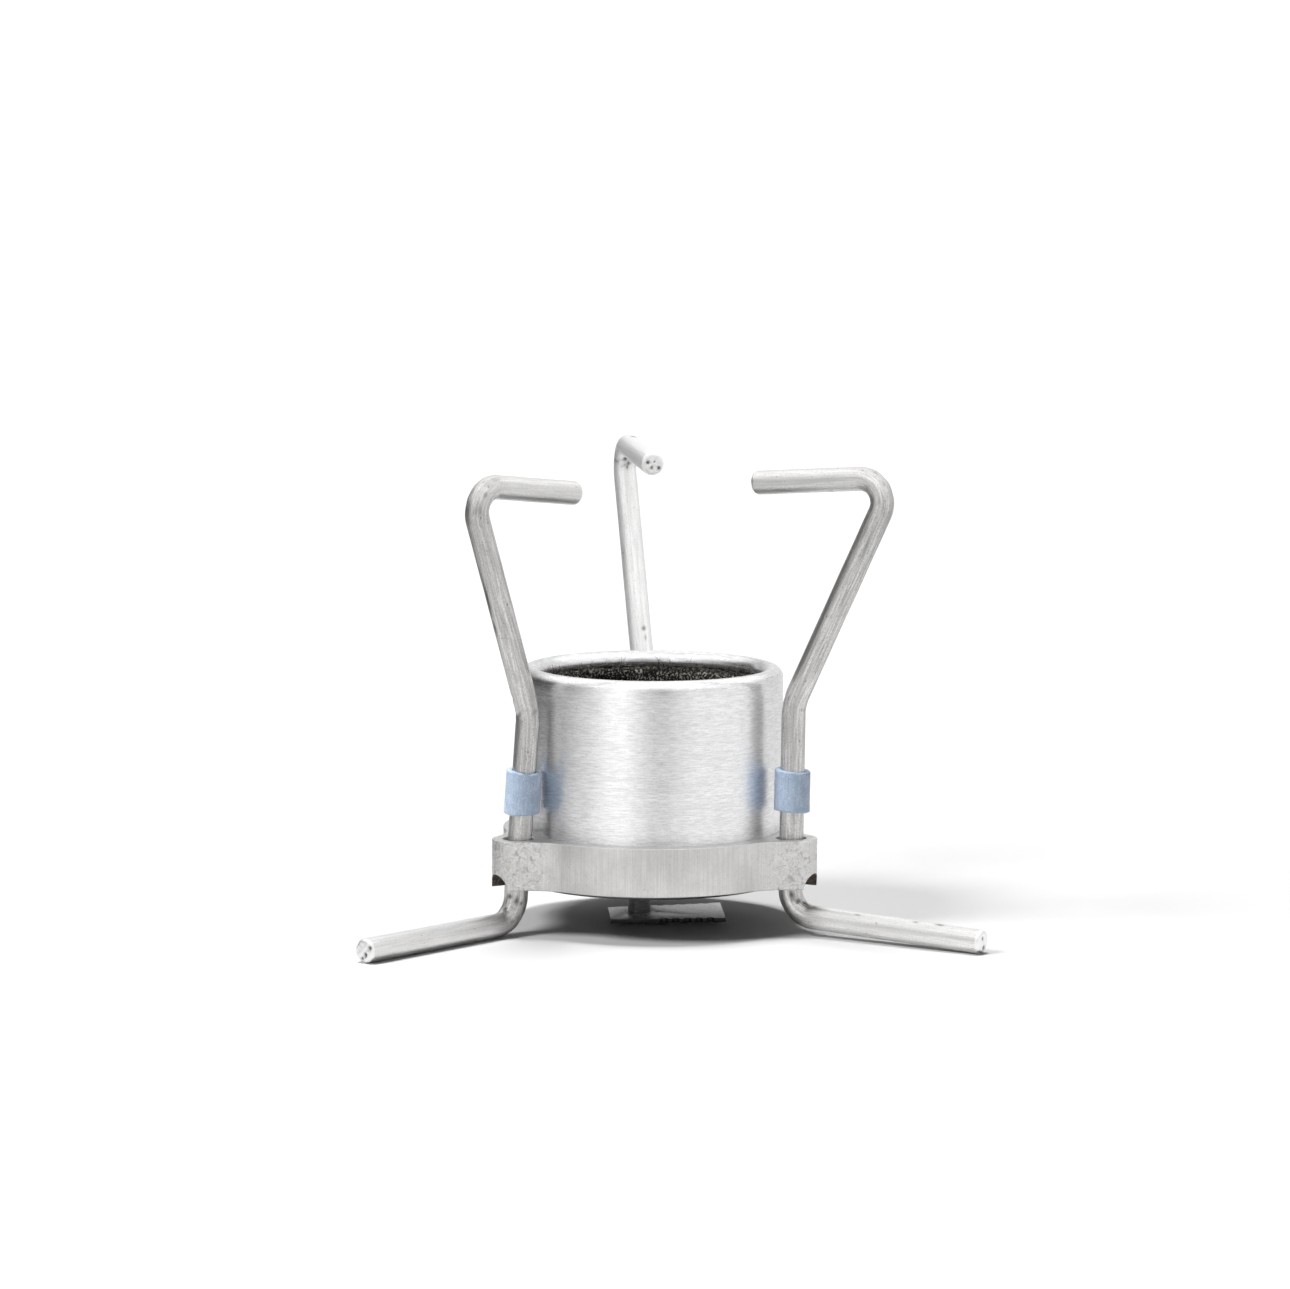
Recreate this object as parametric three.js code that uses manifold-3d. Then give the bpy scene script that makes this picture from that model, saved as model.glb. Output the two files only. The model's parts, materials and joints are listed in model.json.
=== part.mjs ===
// A pocket spirit burner: a round cup held in a three-lobed plate, on three bent-rod legs that
// swivel in the plate's lobes and carry the pot. Millimetres, +Z up, seen from the front along +Y.
// Everything is laid out round the cup's axis, and the whole is then moved so that its origin is
// at the centre of its footprint, on the ground.
import * as THREE from "three";
import { mergeVertices } from "three/addons/utils/BufferGeometryUtils.js";
import Module from "manifold-3d";

const wasm = await Module();
wasm.setup();

// Driving dimensions.
const fitGap = 0.3; // between pieces that touch each other
const cutMargin = 1; // how far a cutting tool stands out past what it cuts

// Segments to a full turn, by the size of what is turned.
const largeTurn = 72;
const middleTurn = 60;
const washerTurn = 32;
const smallTurn = 24;
const rodTurn = 16;
const notchTurn = 12;

const rodRadius = 3.175 / 2;
const footLength = 28.5;
const footDroop = 1.9; // degrees below the horizontal
const uprightLength = 27.6;
const leanLength = 33.4;
const leanAngle = 25.5; // degrees outwards from the upright
const armLength = 20.85;
const armDroop = 5; // degrees, towards the arm's tip
const footBend = 3.5; // bend radii on the rod's centre line
const leanBend = 7;
const topBend = 3;
const bendStep = 13; // degrees of bend between one section of the rod and the next
const tipHeight = 0.45;

const plateBottom = 6.29;
const plateThickness = 6.35;
const plateTop = plateBottom + plateThickness;
const plateMiddle = plateBottom + plateThickness / 2;
const ringRadius = 19.4;
const lobeCircle = 20.47; // from the cup's axis to each leg's bore
const lobeRadius = 3.4;
const lobeFillet = 8;
const boreRadius = 2;
const grooveRadius = 1.9;
const lobeAngles = { left: 210, right: -30, back: 90 };

const cupRadius = 17.25;
const cupBottom = 5.6;
const cupTop = 33.9;
const cupWall = 0.7;
const cupFloor = 1;
const cupCorner = 1.3;
const lipRadius = 1.35;
const lipTail = 0.4; // how far the rolled lip runs straight down inside

const wickThickness = 2.7;
const wickCorner = 0.8;

const sleeveOuter = 2.35;
const sleeveInner = 1.72;
const sleeveLength = 6.2;
const sleeveHeight = 15.8; // of its lower end, above the ground

// The spindle stands a little left of the cup's axis, and everything that it turns is on it.
const spindleX = -1.5;
const spindleRadius = 1.5;
const spindleNeck = 1.1;
const spindleTop = 16;
const spindleChamfer = 0.3;
const leverTop = 1.2;
const leverThickness = 0.6;
const leverLeft = -5.5;
const leverRight = 9.6;
const leverFront = { left: -6, right: -5.1 }; // where its long edges meet its left and right ends
const leverBack = { left: 3.4, right: 6.8 };
const notchStart = 2; // from the right end to the first notch
const notchPitch = 1.52;
const notchRadius = 0.5;
const notchCount = 5;
const washerRadius = 3.4;
const washerThickness = 0.6;
const sealThickness = 1.2;
const clipThickness = 0.5;
const clipRadius = 2.9;
const clipGap = 2.2;
const nutAcross = 5.5;
const nutHeight = 2;
const portCapRadius = 13.1;
const portCapHeight = 5;
const portCapWall = 0.7;
const shutterRadius = 11.2;
const shutterThickness = 0.8;
const portRadius = 2.4;
const portCircle = 7.2;
const portAngles = [0, 120, 240];
const feedRadius = 1.6;
const feedAngles = [60, 180, 300];

// Heights that follow from those.
const floorTop = cupBottom + cupFloor;
const innerBottom = floorTop + fitGap;
const portCapTop = innerBottom + portCapHeight;
const shutterBottom = portCapTop + fitGap;
const shutterTop = shutterBottom + shutterThickness;
const leverBottom = leverTop - leverThickness;

const radians = THREE.MathUtils.degToRad;

// How each leg stands: its foot is turned "toe" degrees from straight out, and the play in its
// bore lets it lean a few degrees towards the direction "leanTo".
const legs = {
  left: { toe: 16.6, tilt: 3.8, leanTo: -13.3 },
  right: { toe: -3.7, tilt: 1, leanTo: 49.3 },
  back: { toe: 9, tilt: 0.9, leanTo: 104.3 },
};

const colours = {
  rod: 0xc4c5c6,
  plate: 0xd2d3d4,
  cup: 0xc9cacc,
  felt: 0x1c1b1a,
  silicone: 0x8fb2d6,
  steel: 0xa9abad,
  seal: 0x26262a,
};

function metal(color, roughness) {
  return new THREE.MeshStandardMaterial({ color, roughness, metalness: 1 });
}

function soft(color, roughness) {
  return new THREE.MeshStandardMaterial({ color, roughness, metalness: 0 });
}

function piece(name, geometry, material) {
  const mesh = new THREE.Mesh(geometry, material);
  mesh.name = name;
  return mesh;
}

function solidOf(geometry) {
  const bare = geometry.clone();
  bare.deleteAttribute("normal");
  bare.deleteAttribute("uv");
  const merged = mergeVertices(bare, 1e-4);
  return new wasm.Manifold(
    new wasm.Mesh({
      numProp: 3,
      vertProperties: new Float32Array(merged.attributes.position.array),
      triVerts: new Uint32Array(merged.index.array),
    }),
  );
}

function geometryOf(solid) {
  const mesh = solid.getMesh();
  const geometry = new THREE.BufferGeometry();
  geometry.setAttribute("position", new THREE.BufferAttribute(mesh.vertProperties, 3));
  geometry.setIndex(new THREE.BufferAttribute(mesh.triVerts, 1));
  geometry.computeVertexNormals();
  return geometry;
}

function join(geometries) {
  return geometryOf(geometries.map(solidOf).reduce((whole, next) => whole.add(next)));
}

function cut(geometry, tools) {
  return geometryOf(tools.map(solidOf).reduce((whole, tool) => whole.subtract(tool), solidOf(geometry)));
}

// A solid of revolution about +Z from [radius, height] points, anticlockwise in that plane.
function turned(points, segments) {
  const profile = points.map(([radius, height]) => new THREE.Vector2(radius, height));
  profile.push(profile[0].clone());
  return new THREE.LatheGeometry(profile, segments).rotateX(Math.PI / 2);
}

function disc(radius, bottom, top, segments) {
  return turned([[0, bottom], [radius, bottom], [radius, top], [0, top]], segments);
}

function tube(inner, outer, bottom, top, segments) {
  return turned([[inner, bottom], [outer, bottom], [outer, top], [inner, top]], segments);
}

// Points on an arc in the profile's plane, from one angle to another in degrees.
function arc(centre, radius, from, to, steps) {
  return Array.from({ length: steps + 1 }, (_, i) => {
    const angle = radians(from + ((to - from) * i) / steps);
    return [centre[0] + radius * Math.cos(angle), centre[1] + radius * Math.sin(angle)];
  });
}

function around(radius, degrees, height = 0) {
  const angle = radians(degrees);
  return new THREE.Vector3(radius * Math.cos(angle), radius * Math.sin(angle), height);
}

// A path through stations that are evenly spaced in its parameter, not in its length, so that a
// sweep along it puts one section at each station.
class StationPath extends THREE.Curve {
  constructor(stations) {
    super();
    this.stations = stations;
  }
  getUtoTmapping(u) {
    return u;
  }
  getPoint(t, target = new THREE.Vector3()) {
    const place = Math.min(Math.max(t, 0), 1) * (this.stations.length - 1);
    const index = Math.min(Math.floor(place), this.stations.length - 2);
    return target.lerpVectors(this.stations[index], this.stations[index + 1], place - index);
  }
}

// Stations along corners joined by straights, with each inner corner rounded to its radius.
function bentStations(corners, radii) {
  const stations = [corners[0].clone()];
  radii.forEach((radius, i) => {
    const corner = corners[i + 1];
    const arriving = corner.clone().sub(corners[i]).normalize();
    const leaving = corners[i + 2].clone().sub(corner).normalize();
    const turn = arriving.angleTo(leaving);
    const start = corner.clone().addScaledVector(arriving, -radius * Math.tan(turn / 2));
    const inwards = leaving.clone().addScaledVector(arriving, -Math.cos(turn)).normalize();
    const steps = Math.ceil(turn / radians(bendStep));
    for (let step = 0; step <= steps; step += 1) {
      const angle = (turn * step) / steps;
      const point = start.clone().addScaledVector(arriving, radius * Math.sin(angle));
      stations.push(point.addScaledVector(inwards, radius * (1 - Math.cos(angle))));
    }
  });
  stations.push(corners[corners.length - 1].clone());
  return stations;
}

// A worn, slightly domed rod end, facing along "outwards".
function rodTip(end, outwards) {
  const dome = arc([0, 0], 1, 0, 90, 4).map(([x, y]) => [rodRadius * x, tipHeight * y]);
  const tip = turned([[0, -cutMargin], [rodRadius, -cutMargin], ...dome], rodTurn);
  const turn = new THREE.Quaternion().setFromUnitVectors(new THREE.Vector3(0, 0, 1), outwards);
  return tip.applyQuaternion(turn).translate(end.x, end.y, end.z);
}

// One rod, bent in its own XZ plane: the foot and the upright meet at the origin.
function legRod() {
  const droop = radians(footDroop);
  const lean = radians(leanAngle);
  const sag = radians(armDroop);
  const footWay = new THREE.Vector3(Math.cos(droop), 0, -Math.sin(droop));
  const armWay = new THREE.Vector3(-Math.cos(sag), 0, -Math.sin(sag));
  const knee = new THREE.Vector3(0, 0, uprightLength);
  const shoulder = knee.clone().add(
    new THREE.Vector3(leanLength * Math.sin(lean), 0, leanLength * Math.cos(lean)),
  );
  const footEnd = footWay.clone().multiplyScalar(footLength - tipHeight);
  const armEnd = shoulder.clone().addScaledVector(armWay, armLength - tipHeight);
  const corners = [footEnd, new THREE.Vector3(), knee, shoulder, armEnd];
  const stations = bentStations(corners, [footBend, leanBend, topBend]);
  const section = new THREE.Shape().absarc(0, 0, rodRadius, 0, 2 * Math.PI);
  const rod = new THREE.ExtrudeGeometry(section, {
    curveSegments: rodTurn / 2,
    steps: stations.length - 1,
    extrudePath: new StationPath(stations),
  });
  return join([rod, rodTip(footEnd, footWay), rodTip(armEnd, armWay)]);
}

// The leg and its sleeve, leaning in the bore, with the lowest point of the rod on the ground.
function legGroup(side) {
  const { toe, tilt, leanTo } = legs[side];
  const leg = new THREE.Group();
  const rod = piece("leg_" + side, legRod(), metal(colours.rod, 0.38));
  leg.add(rod);
  const tiltAxis = around(1, leanTo + 90);
  const swing = new THREE.Quaternion().setFromAxisAngle(
    new THREE.Vector3(0, 0, 1),
    radians(lobeAngles[side] + toe),
  );
  leg.quaternion.setFromAxisAngle(tiltAxis, radians(tilt)).multiply(swing);
  const cornerHeight = -new THREE.Box3().setFromObject(leg, true).min.z;
  const upright = new THREE.Vector3(0, 0, 1).applyQuaternion(leg.quaternion);
  const bore = around(lobeCircle, lobeAngles[side], plateMiddle);
  leg.position.copy(bore).addScaledVector(upright, -(plateMiddle - cornerHeight) / upright.z);
  const sleeve = tube(sleeveInner, sleeveOuter, 0, sleeveLength, smallTurn);
  sleeve.translate(0, 0, (sleeveHeight - cornerHeight) / upright.z);
  leg.add(piece("sleeve_" + side, sleeve, soft(colours.silicone, 0.45)));
  return leg;
}

// The plate's outline: a ring with three lobes, each run into the ring by a hollow fillet.
function plateOutline() {
  const outline = new THREE.Shape();
  const toRing = ringRadius + lobeFillet;
  const toLobe = lobeRadius + lobeFillet;
  const spread = Math.acos((toRing ** 2 + lobeCircle ** 2 - toLobe ** 2) / (2 * toRing * lobeCircle));
  const apex = Math.acos((toRing ** 2 + toLobe ** 2 - lobeCircle ** 2) / (2 * toRing * toLobe));
  const lobeSweep = spread + apex;
  Object.values(lobeAngles)
    .map(radians)
    .sort((a, b) => a - b)
    .forEach((lobe, i, lobes) => {
      const next = i + 1 < lobes.length ? lobes[i + 1] : lobes[0] + 2 * Math.PI;
      const before = lobe - spread;
      const after = lobe + spread;
      const inFillet = [toRing * Math.cos(before), toRing * Math.sin(before)];
      const outFillet = [toRing * Math.cos(after), toRing * Math.sin(after)];
      const end = [lobeCircle * Math.cos(lobe), lobeCircle * Math.sin(lobe)];
      outline.absarc(...inFillet, lobeFillet, before + Math.PI, before + Math.PI - apex, true);
      outline.absarc(...end, lobeRadius, lobe - lobeSweep, lobe + lobeSweep, false);
      outline.absarc(...outFillet, lobeFillet, after + Math.PI + apex, after + Math.PI, true);
      outline.absarc(0, 0, ringRadius, after, next - spread, false);
    });
  return outline;
}

function basePlate() {
  const blank = new THREE.ExtrudeGeometry(plateOutline(), {
    curveSegments: 5,
    depth: plateThickness,
    bevelEnabled: false,
  }).translate(0, 0, plateBottom);
  const low = plateBottom - cutMargin;
  const high = plateTop + cutMargin;
  const tools = [disc(cupRadius + fitGap, low, high, largeTurn)];
  Object.values(lobeAngles).forEach((angle) => {
    const centre = around(lobeCircle, angle);
    tools.push(disc(boreRadius, low, high, washerTurn).translate(centre.x, centre.y, 0));
    const groove = disc(grooveRadius, 0, lobeRadius + cutMargin, smallTurn).rotateY(Math.PI / 2);
    groove.rotateZ(radians(angle)).translate(centre.x, centre.y, plateBottom);
    tools.push(groove);
  });
  return cut(blank, tools);
}

// What to cut away for the spindle to pass through a sheet.
function spindleHole(bottom, top) {
  const tool = disc(spindleRadius + fitGap, bottom - cutMargin, top + cutMargin, smallTurn);
  return tool.translate(spindleX, 0, 0);
}

// A drawn cup whose lip is rolled inwards and down, with a hole in its floor for the spindle.
function burnerCup() {
  const inside = cupRadius - cupWall;
  const lipCentre = [cupRadius - lipRadius, cupTop - lipRadius];
  const innerCorner = cupCorner - cupWall;
  const tailBottom = lipCentre[1] - lipTail;
  const cup = turned(
    [
      [0, cupBottom],
      ...arc([cupRadius - cupCorner, cupBottom + cupCorner], cupCorner, -90, 0, 4),
      ...arc(lipCentre, lipRadius, 0, 180, 10),
      [cupRadius - 2 * lipRadius, tailBottom],
      [cupRadius - 2 * lipRadius + cupWall, tailBottom],
      ...arc(lipCentre, lipRadius - cupWall, 180, 0, 5),
      ...arc([inside - innerCorner, floorTop + innerCorner], innerCorner, 0, -90, 2),
      [0, floorTop],
    ],
    largeTurn,
  );
  return cut(cup, [spindleHole(cupBottom, floorTop)]);
}

function wickFelt() {
  const outer = cupRadius - cupWall - fitGap;
  const inner = outer - wickThickness;
  const bottom = innerBottom;
  const top = cupTop - lipRadius - lipTail - fitGap;
  return turned(
    [
      [inner, bottom],
      [outer - wickCorner, bottom],
      [outer, bottom + wickCorner],
      ...arc([outer - wickCorner, top - wickCorner], wickCorner, 0, 90, 3),
      ...arc([inner + wickCorner, top - wickCorner], wickCorner, 90, 180, 3),
    ],
    middleTurn,
  );
}

// What to cut away for the three vapour ports through a sheet.
function portTools(bottom, top) {
  return portAngles.map((angle) => {
    const centre = around(portCircle, angle);
    const tool = disc(portRadius, bottom - cutMargin, top + cutMargin, smallTurn);
    return tool.translate(spindleX + centre.x, centre.y, 0);
  });
}

// An upturned pan over the fuel, with three vapour ports and three arches that feed the wick.
function portCap() {
  const inside = portCapRadius - portCapWall;
  const pan = turned(
    [
      [inside, innerBottom],
      [portCapRadius, innerBottom],
      [portCapRadius, portCapTop],
      [0, portCapTop],
      [0, portCapTop - portCapWall],
      [inside, portCapTop - portCapWall],
    ],
    middleTurn,
  );
  const sheetBottom = portCapTop - portCapWall;
  const tools = [...portTools(sheetBottom, portCapTop), spindleHole(sheetBottom, portCapTop)];
  feedAngles.forEach((angle) => {
    const arch = disc(feedRadius, inside - cutMargin, portCapRadius + cutMargin, smallTurn);
    tools.push(arch.rotateY(Math.PI / 2).rotateZ(radians(angle)).translate(0, 0, innerBottom));
  });
  return cut(pan, tools);
}

function shutterDisc() {
  const plain = disc(shutterRadius, shutterBottom, shutterTop, middleTurn).translate(spindleX, 0, 0);
  const tools = portTools(shutterBottom, shutterTop);
  return cut(plain, [...tools, spindleHole(shutterBottom, shutterTop)]);
}

// The spindle: a neck through the lever, then a full shank up through the floor and the disc.
function controlSpindle() {
  const shankBottom = leverTop + fitGap;
  return turned(
    [
      [0, leverBottom],
      [spindleNeck, leverBottom],
      [spindleNeck, shankBottom],
      [spindleRadius, shankBottom],
      [spindleRadius, spindleTop - spindleChamfer],
      [spindleRadius - spindleChamfer, spindleTop],
      [0, spindleTop],
    ],
    smallTurn,
  ).translate(spindleX, 0, 0);
}

// A flat thumb plate, wider at its right end, with round notches along both long edges.
function controlLever() {
  const outline = new THREE.Shape([
    new THREE.Vector2(leverLeft, leverFront.left),
    new THREE.Vector2(leverRight, leverFront.right),
    new THREE.Vector2(leverRight, leverBack.right),
    new THREE.Vector2(leverLeft, leverBack.left),
  ]);
  const blank = new THREE.ExtrudeGeometry(outline, { depth: leverThickness, bevelEnabled: false });
  const low = leverBottom - cutMargin;
  const high = leverTop + cutMargin;
  const tools = [disc(spindleNeck + fitGap, low, high, smallTurn).translate(spindleX, 0, 0)];
  [leverFront, leverBack].forEach((edge) => {
    for (let notch = 0; notch < notchCount; notch += 1) {
      const x = leverRight - notchStart - notchPitch * notch;
      const share = (x - leverLeft) / (leverRight - leverLeft);
      const y = THREE.MathUtils.lerp(edge.left, edge.right, share);
      tools.push(disc(notchRadius, low, high, notchTurn).translate(x, y, 0));
    }
  });
  return cut(blank.translate(0, 0, leverBottom), tools);
}

function spindleWasher() {
  const top = cupBottom - fitGap;
  return tube(spindleRadius + fitGap, washerRadius, top - washerThickness, top, washerTurn)
    .translate(spindleX, 0, 0);
}

function spindleSeal() {
  const radius = sealThickness / 2;
  const ring = arc([spindleRadius + fitGap + radius, innerBottom + radius], radius, 0, 330, 11);
  return turned(ring, smallTurn).translate(spindleX, 0, 0);
}

// A retaining clip: a flat ring with a gap that lets it snap on from the side.
function spindleClip() {
  const bottom = innerBottom + sealThickness + fitGap;
  const top = bottom + clipThickness;
  const ring = tube(spindleRadius + fitGap, clipRadius, bottom, top, washerTurn);
  const gap = new THREE.BoxGeometry(2 * clipRadius, clipGap, 2 * cutMargin).translate(clipRadius, 0, bottom);
  return cut(ring, [gap]).translate(spindleX, 0, 0);
}

function spindleNut() {
  const bottom = shutterTop + fitGap;
  const top = bottom + nutHeight;
  const hexagon = disc(nutAcross / Math.sqrt(3), bottom, top, 6).translate(spindleX, 0, 0);
  return cut(hexagon, [spindleHole(bottom, top)]);
}

const stove = new THREE.Group();
stove.add(piece("base_plate", basePlate(), metal(colours.plate, 0.42)));
stove.add(piece("burner_cup", burnerCup(), metal(colours.cup, 0.3)));
stove.add(piece("wick_felt", wickFelt(), soft(colours.felt, 0.95)));
stove.add(piece("port_cap", portCap(), metal(colours.steel, 0.4)));
stove.add(piece("shutter_disc", shutterDisc(), metal(colours.steel, 0.35)));
stove.add(piece("control_spindle", controlSpindle(), metal(colours.steel, 0.35)));
stove.add(piece("control_lever", controlLever(), metal(colours.plate, 0.3)));
stove.add(piece("spindle_washer", spindleWasher(), metal(colours.steel, 0.4)));
stove.add(piece("spindle_seal", spindleSeal(), soft(colours.seal, 0.7)));
stove.add(piece("spindle_clip", spindleClip(), metal(colours.steel, 0.4)));
stove.add(piece("spindle_nut", spindleNut(), metal(colours.steel, 0.35)));
Object.keys(lobeAngles).forEach((side) => stove.add(legGroup(side)));

const extent = new THREE.Box3().setFromObject(stove, true);
const footprint = extent.getCenter(new THREE.Vector3());
stove.position.set(-footprint.x, -footprint.y, -extent.min.z);

const whole = new THREE.Group();
whole.add(stove);

export default whole;
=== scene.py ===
"""The looks of a pocket spirit burner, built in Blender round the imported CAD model.

Lengths in the named values are millimetres, and MM turns them into Blender's metres. Places come
from the frame: the boxes of the CAD nodes and the joints' positions.
"""
import json
import math
import random

import bmesh
import bpy
from mathutils import Matrix, Quaternion, Vector, noise


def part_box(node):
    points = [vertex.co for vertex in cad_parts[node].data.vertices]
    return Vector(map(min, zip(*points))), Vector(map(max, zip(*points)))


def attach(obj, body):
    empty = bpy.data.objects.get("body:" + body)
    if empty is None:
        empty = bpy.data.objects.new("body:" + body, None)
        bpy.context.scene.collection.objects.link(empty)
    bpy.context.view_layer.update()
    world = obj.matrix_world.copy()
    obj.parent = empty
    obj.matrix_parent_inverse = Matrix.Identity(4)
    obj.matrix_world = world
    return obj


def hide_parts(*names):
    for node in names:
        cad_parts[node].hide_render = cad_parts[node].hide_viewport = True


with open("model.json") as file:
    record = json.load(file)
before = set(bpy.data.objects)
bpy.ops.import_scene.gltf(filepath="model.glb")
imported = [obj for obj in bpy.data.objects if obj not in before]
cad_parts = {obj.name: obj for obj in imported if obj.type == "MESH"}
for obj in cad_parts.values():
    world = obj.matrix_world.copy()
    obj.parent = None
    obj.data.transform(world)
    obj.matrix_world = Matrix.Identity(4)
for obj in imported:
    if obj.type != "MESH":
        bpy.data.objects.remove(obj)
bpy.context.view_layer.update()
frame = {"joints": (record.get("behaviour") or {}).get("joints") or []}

MM = 0.001
SIDES = ("left", "right", "back")
JOINTS = {joint["name"]: joint for joint in frame["joints"]}

# The rods, as they are bent. Angles are in degrees.
ROD_RADIUS = 1.5875
FOOT_LENGTH = 28.5
FOOT_DROOP = 1.9
UPRIGHT_LENGTH = 27.6
LEAN_LENGTH = 33.4
LEAN_ANGLE = 25.5
ARM_LENGTH = 20.85
ARM_DROOP = 5
BEND_RADII = (3.5, 7, 3)
END_TRIM = 0.12  # the worn ends stop this much short of the rod's full length
LOBE_ANGLES = {"left": 210, "right": -30, "back": 90}
LEG_TURNS = {"left": 16.6, "right": -3.7, "back": 9}
LEG_TILTS = {"left": (3.8, -13.3), "right": (1, 49.3), "back": (0.9, 104.3)}

# The plate and the cup.
RING_RADIUS = 19.4
LOBE_CIRCLE = 20.47
LOBE_RADIUS = 3.4
LOBE_FILLET = 8
BORE_RADIUS = 2
GROOVE_RADIUS = 1.9
CUP_CORNER = 0.6
CUP_INNER_CORNER = 0.4
CUP_WALL = 0.7
LIP_RADIUS = 1.35
LIP_TAIL = 0.4
CONTACT = 0.03  # what shows between pieces that touch
PLATE_EDGE = 0.14  # rounding of sawn and milled edges

# The spindle and what turns on it.
SPINDLE_RADIUS = 1.5
NECK_RADIUS = 1.25
FLOOR_HOLE = 3.5  # in the cup's floor, before it is pressed round the spindle
WASHER_RADIUS = 3.4
WASHER_RISE = 0.27  # the washer is pressed up against the cup
SHUTTER_DROP = 0.25  # and the disc down onto the cap
CLIP_RADII = (1.55, 2.9)
CLIP_GAP = 22  # half of its opening, in degrees
LEVER_FRONT = (-6, -5.1)  # where its long edges meet its left and right ends, from the cup's axis
LEVER_BACK = (3.4, 6.8)
NOTCH_START = 2
NOTCH_PITCH = 1.52
NOTCH_RADIUS = 0.5
NOTCH_COUNT = 5
PORT_RADIUS = 2.4
PORT_CIRCLE = 7.2
FEED_RADIUS = 1.6
SHEET_EDGE = 0.08

# The camera: what it looks at is given from the cup's axis.
CAMERA_DISTANCE = 721
CAMERA_PITCH = 7.09
CAMERA_ROLL = 0.26
CAMERA_AZIMUTH = -92.78
CAMERA_ASIDE = -0.89
CAMERA_HEIGHT = 36.66
CAMERA_LENS = 153.5
SENSOR_WIDTH = 36

cup_low, cup_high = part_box("burner_cup")
plate_low, plate_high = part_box("base_plate")
CUP_AXIS = Vector(((cup_low.x + cup_high.x) / 2, (cup_low.y + cup_high.y) / 2, 0))
CUP_RADIUS = (cup_high.x - cup_low.x) / 2 / MM
CUP_BOTTOM = cup_low.z / MM
CUP_TOP = cup_high.z / MM
PLATE_BOTTOM = plate_low.z / MM
PLATE_TOP = plate_high.z / MM
SPINDLE_AXIS = Vector(JOINTS["flame_lever_turn"]["pos_m"])
SPINDLE_AXIS.z = 0


# ---- mesh helpers ----

def around(radius, degrees, height=0.0):
    angle = math.radians(degrees)
    return Vector((radius * math.cos(angle), radius * math.sin(angle), height))


def linked(name, data):
    thing = bpy.data.objects.new(name, data)
    bpy.context.scene.collection.objects.link(thing)
    return thing


def finish_mesh(name, mesh, place=None, sharp=35, stand=None):
    """A linked object from a mesh in millimetres, with soft shading below the sharp angle."""
    mesh.transform(Matrix.Scale(MM, 4))
    if stand is not None:
        mesh.transform(stand)
    mesh.shade_smooth()
    mesh.set_sharp_from_angle(angle=math.radians(sharp))
    thing = linked(name, mesh)
    if place is not None:
        thing.location = place
    return thing


def dress(thing, looks, body, node=None):
    """Give a piece its materials and its body, and hide the CAD node that it stands for."""
    for look in looks:
        thing.data.materials.append(look)
    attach(thing, body)
    if node is not None:
        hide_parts(node)


def node_span(node):
    low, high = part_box(node)
    return low.z / MM, high.z / MM


def node_radius(node):
    low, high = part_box(node)
    return (high.x - low.x) / 2 / MM


def mesh_from(name, points, faces):
    mesh = bpy.data.meshes.new(name)
    mesh.from_pydata([tuple(p) for p in points], [], faces)
    mesh.validate()
    return mesh


def round_points(centre, radius, angles):
    return [(centre[0] + radius * math.cos(angle), centre[1] + radius * math.sin(angle)) for angle in angles]


def arc(centre, radius, start, end, steps):
    """Points (radius, height) on an arc in a turned profile's plane, angles in degrees."""
    angles = [math.radians(start + (end - start) * step / steps) for step in range(steps + 1)]
    return round_points(centre, radius, angles)


def turned_mesh(name, profile, segments=96, closed=False):
    """A surface of revolution about Z. A profile that isn't closed starts and ends on the axis."""
    points, rows = [], []
    for radius, height in profile:
        if radius < 1e-6:
            rows.append([len(points)] * segments)
            points.append((0, 0, height))
            continue
        rows.append(list(range(len(points), len(points) + segments)))
        for i in range(segments):
            angle = 2 * math.pi * i / segments
            points.append((radius * math.cos(angle), radius * math.sin(angle), height))
    faces = []
    pairs = list(zip(rows, rows[1:] + rows[:1])) if closed else list(zip(rows, rows[1:]))
    for low, high in pairs:
        for i in range(segments):
            j = (i + 1) % segments
            corners = [low[i], low[j], high[j], high[i]]
            face = tuple(dict.fromkeys(corners))
            if len(face) > 2:
                faces.append(face)
    return mesh_from(name, points, faces)


def baked(thing):
    """The mesh that a curve or a modified object comes to."""
    bpy.context.view_layer.update()
    graph = bpy.context.evaluated_depsgraph_get()
    return bpy.data.meshes.new_from_object(thing.evaluated_get(graph))


def flat_mesh(name, loops, bottom, top, edge):
    """A sheet or plate cut to closed loops of (x, y) points, the first one outside, edges eased."""
    curve = bpy.data.curves.new(name, "CURVE")
    curve.dimensions = "2D"
    curve.fill_mode = "BOTH"
    for loop in loops:
        spline = curve.splines.new("POLY")
        spline.points.add(len(loop) - 1)
        for point, (x, y) in zip(spline.points, loop):
            point.co = (x, y, 0, 1)
        spline.use_cyclic_u = True
    curve.extrude = (top - bottom) / 2 - edge
    curve.bevel_depth = edge
    curve.bevel_resolution = 2
    curve.offset = -edge
    shape = linked(name + "_shape", curve)
    mesh = baked(shape)
    bpy.data.objects.remove(shape)
    mesh.transform(Matrix.Translation((0, 0, (top + bottom) / 2)))
    mesh.name = name
    weld(mesh)
    return mesh


def weld(mesh):
    work = bmesh.new()
    work.from_mesh(mesh)
    bmesh.ops.remove_doubles(work, verts=work.verts, dist=1e-4)
    bmesh.ops.recalc_face_normals(work, faces=work.faces)
    work.to_mesh(mesh)
    work.free()


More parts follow.
